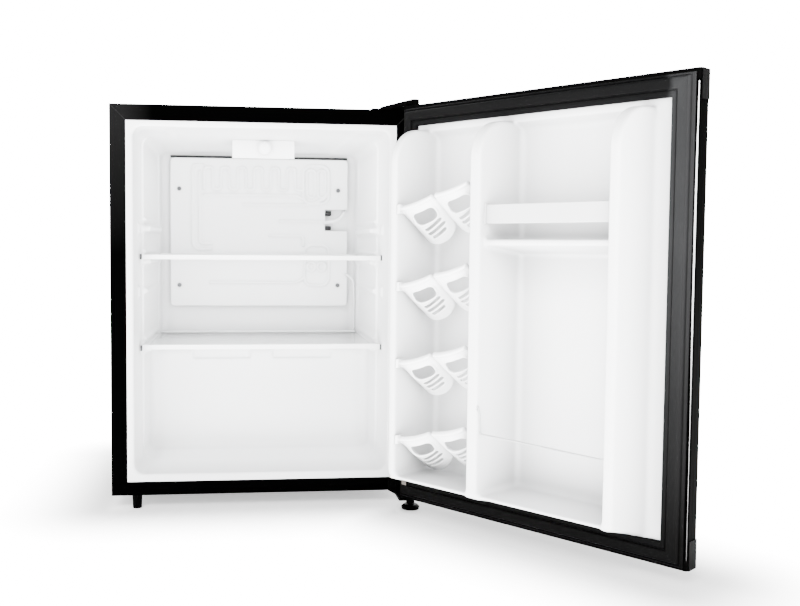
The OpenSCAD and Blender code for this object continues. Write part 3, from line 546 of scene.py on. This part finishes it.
def frame_sweep(profile, w0, w1, h0, h1, pinch):
    """profile of (inset, height) swept round a rectangle in door coordinates

    Each ring has its place and inward direction in u and z, and a cap on its height, which is the pinch at
    the bottom hinge's leg.
    """
    leg_u, leg_z, run_out = 40, 34, 4
    rings = [((w0, 1), (h0, 1), pinch), ((leg_u, 0), (h0, 1), pinch), ((leg_u + run_out, 0), (h0, 1), NO_CAP),
             ((w1, -1), (h0, 1), NO_CAP), ((w1, -1), (h1, -1), NO_CAP), ((w0, 1), (h1, -1), NO_CAP),
             ((w0, 1), (leg_z + run_out, 0), NO_CAP), ((w0, 1), (leg_z, 0), pinch)]
    pts = []
    for (corner_u, side_u), (corner_z, side_z), cap in rings:
        pts += [(corner_u + side_u * t, min(rise, cap), corner_z + side_z * t) for t, rise in profile]
    faces = []
    n = len(profile)
    for k in range(len(rings)):
        a, b = k * n, ((k + 1) % len(rings)) * n
        for i in range(n - 1):
            faces.append((a + i, a + i + 1, b + i + 1, b + i))
    return np.array(pts, float), faces


pts, faces = frame_sweep(PROFILE, 0, DOOR_WIDTH, DOOR_LOW, DOOR_HIGH, PINCHED)
gasket = mesh_object("gasket_ring", uvz(pts), faces, "gasket", "door", sharp=50)
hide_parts("door_gasket")


# ---------------------------------------------------------------- can racks

TOP_RACK = 449.0
RACK_PITCH = 112.5
FAR = 99.0                      # further than any surface


def rack_field(u, v, z):
    """negative in a pair of cups, with s along the rack, t down its slope and n out of it"""
    s = u - 57
    rise = z - 0.262 * s
    t = -((v - 70) * 0.815 + rise * 0.579)
    n = -(v - 70) * 0.579 + rise * 0.815
    out = np.full(np.broadcast(u, v, z).shape, FAR, np.float32)
    for s0, s1 in ((0.4, 64.0), (64.0, 127.0)):
        middle, half_width = (s0 + s1) / 2, (s1 - s0) / 2
        share = (s - middle) / half_width
        deep = 3.5 + 10.0 * np.clip(t / 30, 0, 1)
        trough = -deep * (1 - np.clip(share * share, 0, 1.3))
        trough = trough + 3.0 * np.clip(np.abs(share) - 0.75, 0, 1)
        outline = rounded(s - middle, t - 36, half_width, 46, 24)
        outline = np.maximum(outline, 0.3 - t)
        plate = smax(np.abs(n - trough) - 1.25, outline, 1.2)
        rim = np.sqrt((outline + 2.0) ** 2 + (n - trough - 1.2) ** 2) - 2.4
        lip = np.maximum(np.sqrt((t - 2.0) ** 2 + (n - trough - 0.8) ** 2) - 3.2, outline)
        window = rounded(s - middle - 5.5, t - 25, 18.5, 11, 8)
        plate = smax(plate, -window, 1.2)
        # three slots slant across the cup below its window
        along = s - middle - 7.5
        for b, half in ((44.5, 13.0), (54.0, 14.0), (63.5, 10.0)):
            across = (t - b + 0.26 * along) * 0.97
            plate = smax(plate, 2.7 - np.hypot(np.clip(np.abs(along) - half, 0, None), across), 1.0)
        bead = np.sqrt((window - 1.0) ** 2 + (n - trough + 0.9) ** 2) - 1.3
        part = smin(smin(plate, rim, 1.5), lip, 1.5)
        part = smin(part, bead, 1.0)
        out = np.minimum(out, part)
    # small hook on the hinge-side rib
    hook = np.maximum(np.maximum(np.abs(s - 1.8) - 2.2, np.abs(v - 66) - 7), np.abs(rise + 2) - 6) - 0.6
    out = smin(out, hook, 2)
    return out


v, f = surface_nets(rack_field, (54, -8, -76), (186, 86, 48), 1.0 * COARSE)
for k in range(4):
    rack = mesh_object("rack_in_door_%d" % (k + 1), uvz(v + np.array([0, 0, TOP_RACK - RACK_PITCH * k])), f,
                       "rack_plastic", "door")
    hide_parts("can_rack_%d" % (k + 1))


# ---------------------------------------------------------------- rear plate with its channels

def segment_distance(x, z, a, b):
    """distance from the line between points a and b"""
    xa, za = a
    dx, dz = b[0] - xa, b[1] - za
    t = np.clip(((x - xa) * dx + (z - za) * dz) / (dx * dx + dz * dz + 1e-9), 0, 1)
    return np.hypot(x - xa - t * dx, z - za - t * dz)


def fillet(pts, r, n=6):
    """polyline with its corners rounded"""
    pts = [Vector(p) for p in pts]
    out = [pts[0]]
    for a, b, c in zip(pts, pts[1:], pts[2:]):
        d1, d2 = (a - b), (c - b)
        k = min(r, d1.length * 0.45, d2.length * 0.45)
        p1, p2 = b + d1.normalized() * k, b + d2.normalized() * k
        for i in range(n + 1):
            t = i / n
            out.append(p1 * (1 - t) ** 2 + b * 2 * t * (1 - t) + p2 * t * t)
    out.append(pts[-1])
    return out


def bent(pts, r):
    """polyline in x and z with rounded corners, as segments"""
    p = [tuple(q)[:2] for q in fillet([(x, z, 0) for x, z in pts], r)]
    return list(zip(p, p[1:]))


# closed loops of the right-hand channels: left, right, bottom, top and corner radius
LOOPS = ((84, 133, 474, 546, 15), (91, 107, 486, 538, 7.5), (112, 127, 486, 538, 7),
         (87, 134, 317, 394, 14), (92, 107.5, 345, 361, 7.7), (112, 127.5, 345, 361, 7.7))
CHANNEL = 2.6                   # height of the channels
PLATE_Y = 332.0                 # the plate's depth behind the cabinet's face


def plate():
    """points and faces of the rear plate, with its channels raised towards the room"""
    x0, x1, z0, z1 = -167.9, 169.8, 276.8, 558.0
    xs = np.arange(x0, x1 + 0.01, (x1 - x0) / round(338 / COARSE))
    zs = np.arange(z0, z1 + 0.01, (z1 - z0) / round(281 / COARSE))
    X, Z = np.meshgrid(xs, zs, indexing="ij")
    d = np.full(X.shape, FAR)
    # winding at the top, with its bends at alternate ends
    start, pitch = -104, 15.7
    winding = [(start, 500)]
    for k in range(12):
        x = start + k * pitch
        end = 541 if k % 2 == 0 else 499
        winding += [(x, end), (x + pitch, end)]
    winding.append((84.4, 505))
    lines = bent(winding, 7.5)
    # two runs down the left side
    lines += bent([(-92, 386), (-126, 386), (-126, 545), (-107, 545)], 14)
    lines += bent([(-92, 396), (-113, 396), (-113, 533)], 9)
    # runs below the winding, and at the bottom
    lines += bent([(-104, 489), (72, 489), (84, 482)], 9)
    lines += bent([(-30, 471), (92, 471), (126, 484), (134, 500), (134, 512)], 12)
    lines += bent([(40, 440), (126, 440)], 5)
    lines += bent([(20, 412), (84, 412), (84, 394)], 8)
    lines += bent([(-92, 322), (72, 322), (87, 332)], 9)
    for a, b in lines:
        d = np.minimum(d, segment_distance(X, Z, a, b))
    for xa, xb, za, zb, r in LOOPS:
        ring = rounded(X - (xa + xb) / 2, Z - (za + zb) / 2, (xb - xa) / 2, (zb - za) / 2, r)
        d = np.minimum(d, np.abs(ring))
    h = CHANNEL * np.clip(1 - (d / 3.3) ** 2, 0, 1) ** 0.8
    edge = np.minimum(np.minimum(X - x0, x1 - X), np.minimum(Z - z0, z1 - Z))
    h = h - 1.0 * np.clip(1 - edge / 2.0, 0, 1) ** 2
    nx, nz = X.shape
    notch = (X > 126) & (Z > 422) & (Z < 462)
    corner = np.zeros_like(notch)
    corner_r = 7
    for cx, sx in ((x0 + corner_r, -1), (x1 - corner_r, 1)):
        for cz, sz in ((z0 + corner_r, -1), (z1 - corner_r, 1)):
            outside = ((X - cx) * sx > 0) & ((Z - cz) * sz > 0) & (np.hypot(X - cx, Z - cz) > corner_r)
            corner |= outside
    hole = notch | corner
    idx = np.arange(nx * nz).reshape(nx, nz)
    keep = ~(hole[:-1, :-1] | hole[1:, :-1] | hole[:-1, 1:] | hole[1:, 1:])
    q = np.stack([idx[:-1, :-1][keep], idx[1:, :-1][keep], idx[1:, 1:][keep], idx[:-1, 1:][keep]], 1)
    pts = np.stack([X.ravel(), FACE_Y + PLATE_Y - h.ravel(), BOTTOM_Z + Z.ravel()], 1)
    return pts, q


pts, q = plate()
evap = mesh_object("cooling_plate", pts, q, "plate_aluminium", "cabinet")
sheet = evap.modifiers.new("sheet", "SOLIDIFY")
sheet.thickness = 0.0014
sheet.offset = -1
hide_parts("evaporator_plate", "evaporator_channels")


# ---------------------------------------------------------------- tubes and wires

def tube(name, pts, radius, slot, body, cyclic=False, res=4):
    """round tube along points in millimetres"""
    curve = bpy.data.curves.new(name, "CURVE")
    curve.dimensions = "3D"
    curve.bevel_depth = radius / 1000
    curve.bevel_resolution = res
    curve.use_fill_caps = True
    spline = curve.splines.new("POLY")
    spline.points.add(len(pts) - 1)
    for point, place in zip(spline.points, pts):
        point.co = (*(Vector(place) / 1000), 1)
    spline.use_cyclic_u = cyclic
    o = bpy.data.objects.new(name, curve)
    bpy.context.scene.collection.objects.link(o)
    curve.materials.append(MATERIALS[slot])
    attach(o, body)
    return o


wire_pts = [(207.9, 70.8, 173), (208.0, 68.6, 167), (208.1, 67.5, 152), (207.9, 67.4, 139.6),
            (300, 64.5, 137), (392, 64, 134.4), (397, 64, 137), (397.5, 64, 146), (400.5, 66, 147)]
wire_pts = uvz(np.array([tuple(q) for q in fillet(wire_pts, 6)]))
wire = tube("bottle_guard_wire", wire_pts, 1.35, "wire_metal", "door")
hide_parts("bottle_wire")
turn = np.arange(12) * math.pi / 6
eye_pts = uvz([(207.6 + 2.4 * math.sin(a), 72.8, 175.8 + 2.6 * math.cos(a)) for a in turn])
eye = tube("bottle_guard_eye", eye_pts, 0.8, "wire_metal", "door", cyclic=True)


def inner(x, y, z):
    """point in the cabinet, from its face and bottom edge"""
    return x, FACE_Y + y, BOTTOM_Z + z


suction_pts = [inner(124, 331, 438), inner(142, 330, 440), inner(156, 331, 446), inner(163, 334, 458),
               inner(164, 346, 462)]
suction = tube("suction_pipe", fillet(suction_pts, 9), 3.0, "plate_aluminium", "cabinet")
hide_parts("suction_tube")
sensor_pts = [inner(166, 330, 338), inner(172, 326, 336), inner(181, 325, 326), inner(183, 325.5, 300),
              inner(183, 325.5, 214)]
sensor = tube("sensor_pipe", fillet(sensor_pts, 10), 1.9, "plate_aluminium", "cabinet")
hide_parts("sensor_tube")

# painted shadow: dark rubber strips between the plate and the ceiling, either side of the thermostat, stand
# for the shaded gap there
for name, xa, xb in (("plate_seal_left", -168, -49), ("plate_seal_right", 57, 169)):
    box = (inner(xa, 338, 558.6), inner(xb, 344.6, 562.6))
    strip = block_piece(name, [box], "rubber", "cabinet", 0.0008)

# rail over the ledge with its end clips
rail_boxes = [((208.6, 60, 424.7), (401, 63, 450.5)), ((203.4, 55, 423.5), (209.8, 65.5, 452.5)),
              ((394.0, 55, 423.5), (400.0, 65.5, 452.5))]
rail = block_piece("rail_of_door", rail_boxes, "rail_plastic", "door", 0.0012, uvz)
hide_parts("door_rail")

# web that joins the hinge cover to the knuckle
box = ((222, HINGE_Y - 5, BOTTOM_Z + 611.6), (229, HINGE_Y + 5, BOTTOM_Z + 619.2))
web = block_piece("top_hinge_web", [box], "hinge_steel", "cabinet", 0.001)

# painted highlight: a light strip along the door's handle edge stands for the reflection on its bend
pts, faces = [], []
stations, across = 30, 5
for z in np.linspace(14, 592, stations):
    wide = np.interp(z, [14, 200, 300, 420, 520, 592], [0.5, 0.7, 1.9, 2.3, 1.8, 1.1])
    pts += [(473.1 - wide * t, 0.12 + 0.3 * t * (1 - t), z) for t in np.linspace(1, 0, across)]
for k in range(stations - 1):
    for i in range(across - 1):
        a, b = k * across + i, (k + 1) * across + i
        faces.append((a, a + 1, b + 1, b))
bend = mesh_object("door_edge_bend_highlight", uvz(np.array(pts)), faces, "edge_sheen", "door")

# mitre seams at the face's upper corners
for k, sx in enumerate((-1, 1)):
    seam_pts = [inner(sx * 234.6, -0.05, 608.1), inner(sx * 210.7, -0.05, 584.2)]
    seam = tube("frame_seam_%d" % k, seam_pts, 0.3, "seam", "cabinet", res=2)

# dark clips at the ends of the shelves' front trims
for shelf, z in (("upper_shelf", 369.1), ("lower_shelf", 220.2)):
    for side, x in (("left", -195.4), ("right", 198.2)):
        box = (inner(x - 1.4, 64, z), inner(x + 1.4, 72, z + 9.2))
        block_piece("%s_%s_clip" % (shelf, side), [box], "clip", shelf, 0.0008)

# painted shadow: dark pads in the plate's notch stand for the shade in its corners
for k, (z0, z1) in enumerate(((451, 460), (423.5, 431.5))):
    box = (inner(126.3, 337, z0), inner(138.5, 343, z1))
    block_piece("notch_pad_%d" % (k + 1), [box], "rubber", "cabinet", 0.0015)


# ---------------------------------------------------------------- studio

BASE, BACK = 1.05, 17.0         # brightness of the world, and of the stretch behind the object

bpy.ops.mesh.primitive_plane_add(size=14, location=(0, 0, 0))
floor = bpy.context.object
floor.name = "Floor"
floor.data.materials.append(MATERIALS["floor"])

world = bpy.data.worlds.new("studio")
bpy.context.scene.world = world
world.use_nodes = True
world_tree = world.node_tree
background = world_tree.nodes["Background"]
background.inputs[0].default_value = (1, 1, 1, 1)
directions = world_tree.nodes.new("ShaderNodeTexCoord")
sep = world_tree.nodes.new("ShaderNodeSeparateXYZ")
world_tree.links.new(directions.outputs["Generated"], sep.inputs[0])
behind = ranged(world_tree, sep.outputs[1], 0.25, 0.6, 0, 1, "SMOOTHSTEP")
low = ranged(world_tree, sep.outputs[2], 0.36, 0.62, 1, 0, "SMOOTHSTEP")
glow = maths(world_tree, "MULTIPLY", maths(world_tree, "MULTIPLY", behind, low), BACK)
world_tree.links.new(maths(world_tree, "ADD", glow, BASE), background.inputs[1])

floor_tree = MATERIALS["floor"].node_tree
floor_shader = shader(floor_tree)
floor_coords = floor_tree.nodes.new("ShaderNodeTexCoord")


def box_distance(shift, turn, half_x, half_y):
    """socket with the distance on the floor from a turned rectangle"""
    mapping = floor_tree.nodes.new("ShaderNodeMapping")
    mapping.vector_type = "TEXTURE"
    mapping.inputs["Location"].default_value = shift
    mapping.inputs["Rotation"].default_value = (0, 0, turn)
    floor_tree.links.new(floor_coords.outputs["Object"], mapping.inputs[0])
    axes = floor_tree.nodes.new("ShaderNodeSeparateXYZ")
    floor_tree.links.new(mapping.outputs[0], axes.inputs[0])
    squares = []
    for k, half in ((0, half_x), (1, half_y)):
        past = maths(floor_tree, "SUBTRACT", maths(floor_tree, "ABSOLUTE", axes.outputs[k], 0.0), half)
        past = maths(floor_tree, "MAXIMUM", past, 0.0)
        squares.append(maths(floor_tree, "MULTIPLY", past, past))
    return maths(floor_tree, "SQRT", maths(floor_tree, "ADD", *squares), 0.0)


mid = opened([[0, FACE_Y - 30, 0]])[0] / 1000
beside = box_distance((0, 0, 0), 0.0, 0.225, 0.19)
near = maths(floor_tree, "MINIMUM", beside, box_distance((mid[0], mid[1], 0), OPEN, 0.225, 0.02))
floor_shader.inputs["Emission Color"].default_value = (1, 1, 1, 1)
# the floor glows where the photo's is plain white, and a little below the cabinet
away = ranged(floor_tree, near, 0.015, 0.23, 0.0, 15.0, "SMOOTHSTEP")
below = ranged(floor_tree, beside, 0.0, 0.03, 0.55, 0.0, "SMOOTHSTEP")
floor_tree.links.new(maths(floor_tree, "ADD", away, below), floor_shader.inputs["Emission Strength"])


def area(name, loc, target, sx, sy, power):
    """rectangular light that faces its target"""
    light = bpy.data.lights.new(name, "AREA")
    light.shape = "RECTANGLE"
    light.size = sx
    light.size_y = sy
    light.energy = power
    o = bpy.data.objects.new(name, light)
    o.location = loc
    o.rotation_euler = (Vector(target) - Vector(loc)).to_track_quat("-Z", "Y").to_euler()
    bpy.context.scene.collection.objects.link(o)


area("key", (-0.7, -2.7, 2.1), (0.0, 0.0, 0.3), 1.5, 1.1, 165)
area("fill", (0.9, -2.9, 0.9), (0.1, 0.0, 0.3), 1.4, 1.1, 58)

camera_data = bpy.data.cameras.new("camera")
camera = bpy.data.objects.new("camera", camera_data)
bpy.context.scene.collection.objects.link(camera)
# where the fitted camera looks: to the right, down, and turned a little
yaw, pitch, roll = math.radians(6.44), math.radians(3.31), math.radians(0.42)
forward = Vector((math.sin(yaw) * math.cos(pitch), math.cos(yaw) * math.cos(pitch), -math.sin(pitch)))
level_right = Vector((math.cos(yaw), -math.sin(yaw), 0))
level_up = level_right.cross(forward)
right = level_right * math.cos(roll) + level_up * math.sin(roll)
up = level_up * math.cos(roll) - level_right * math.sin(roll)
pose = Matrix((right, up, -forward)).transposed().to_4x4()
pose.translation = Vector((-0.03108, -1.69019, 0.41534))
camera.matrix_world = pose
camera_data.sensor_width = 36
camera_data.lens = 42.594
camera_data.shift_x = 0.063
camera_data.shift_y = -0.0032
camera_data.clip_start = 0.05
camera_data.clip_end = 60
bpy.context.scene.camera = camera
